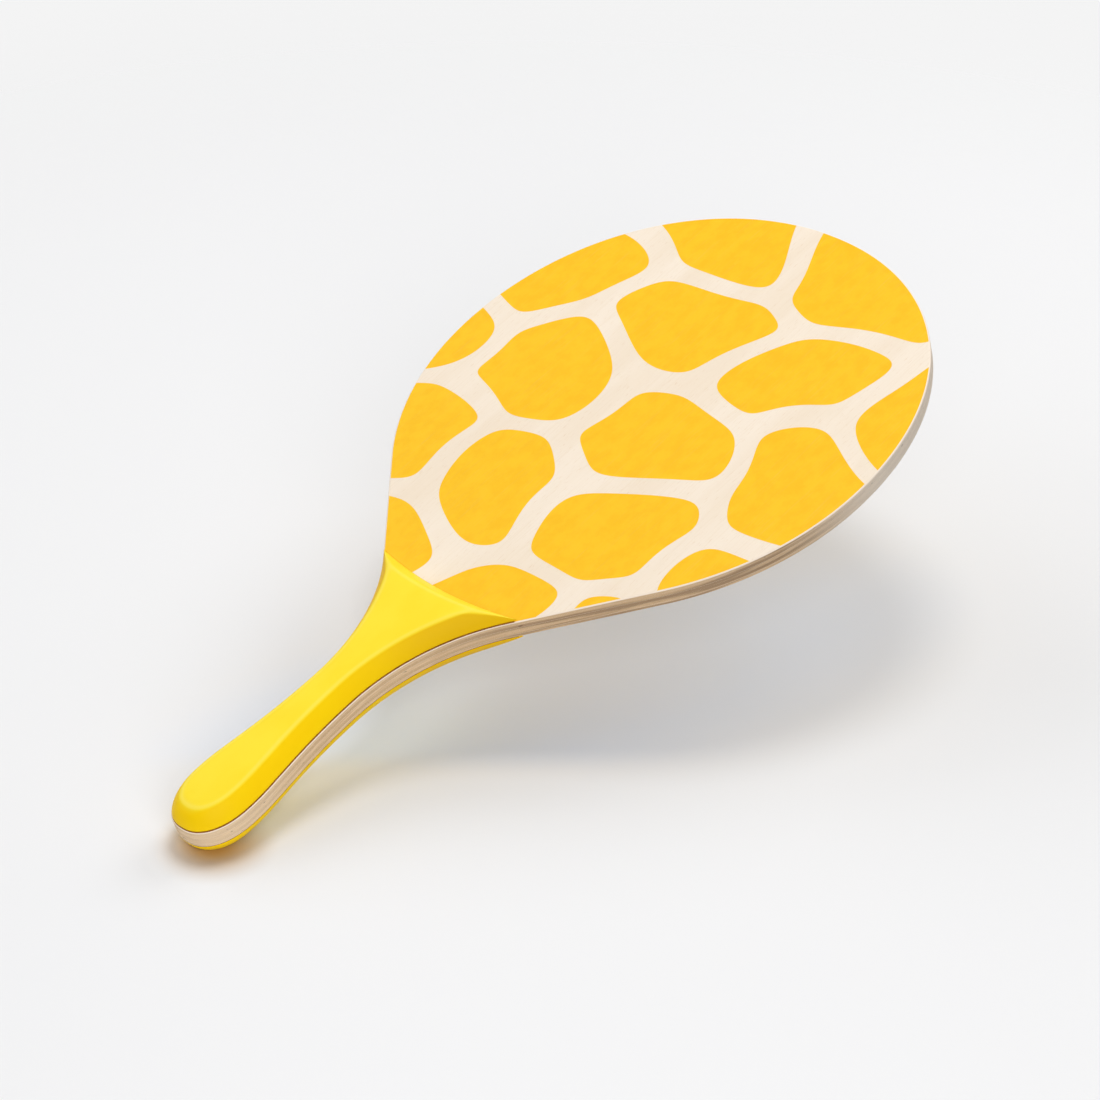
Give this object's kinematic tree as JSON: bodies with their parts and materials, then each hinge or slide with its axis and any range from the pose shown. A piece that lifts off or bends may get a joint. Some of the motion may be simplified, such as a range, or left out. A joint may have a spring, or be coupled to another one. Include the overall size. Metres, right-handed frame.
{
  "type": "frescobol racket",
  "caption": "Wooden beach racket with an oval plywood head, a waisted handle and a soft foam grip pad glued to each side of the handle.",
  "frame": {"origin": "centre of the whole racket, on the middle of the plywood's thickness and halfway along its length", "axes": "+Y runs from the butt to the tip, +X across the head, +Z out of the front face"},
  "size_m": [0.248, 0.45, 0.027],
  "materials": {
    "printed_birch": "pale birch veneer under clear matt lacquer, with a flat orange-yellow print",
    "cross_birch": "sanded end grain",
    "core_birch": "sanded long grain",
    "adhesive": "thin dark amber film",
    "grip_foam": "moulded yellow foam, fine matt skin"
  },
  "bodies": {
    "root": {"core_ply": "core_birch", "front_cross_ply": "cross_birch", "back_cross_ply": "cross_birch", "front_face_ply": "printed_birch", "back_face_ply": "printed_birch", "front_adhesive_film": "adhesive", "back_adhesive_film": "adhesive", "front_grip_pad": "grip_foam", "back_grip_pad": "grip_foam"}
  },
  "joints": []
}
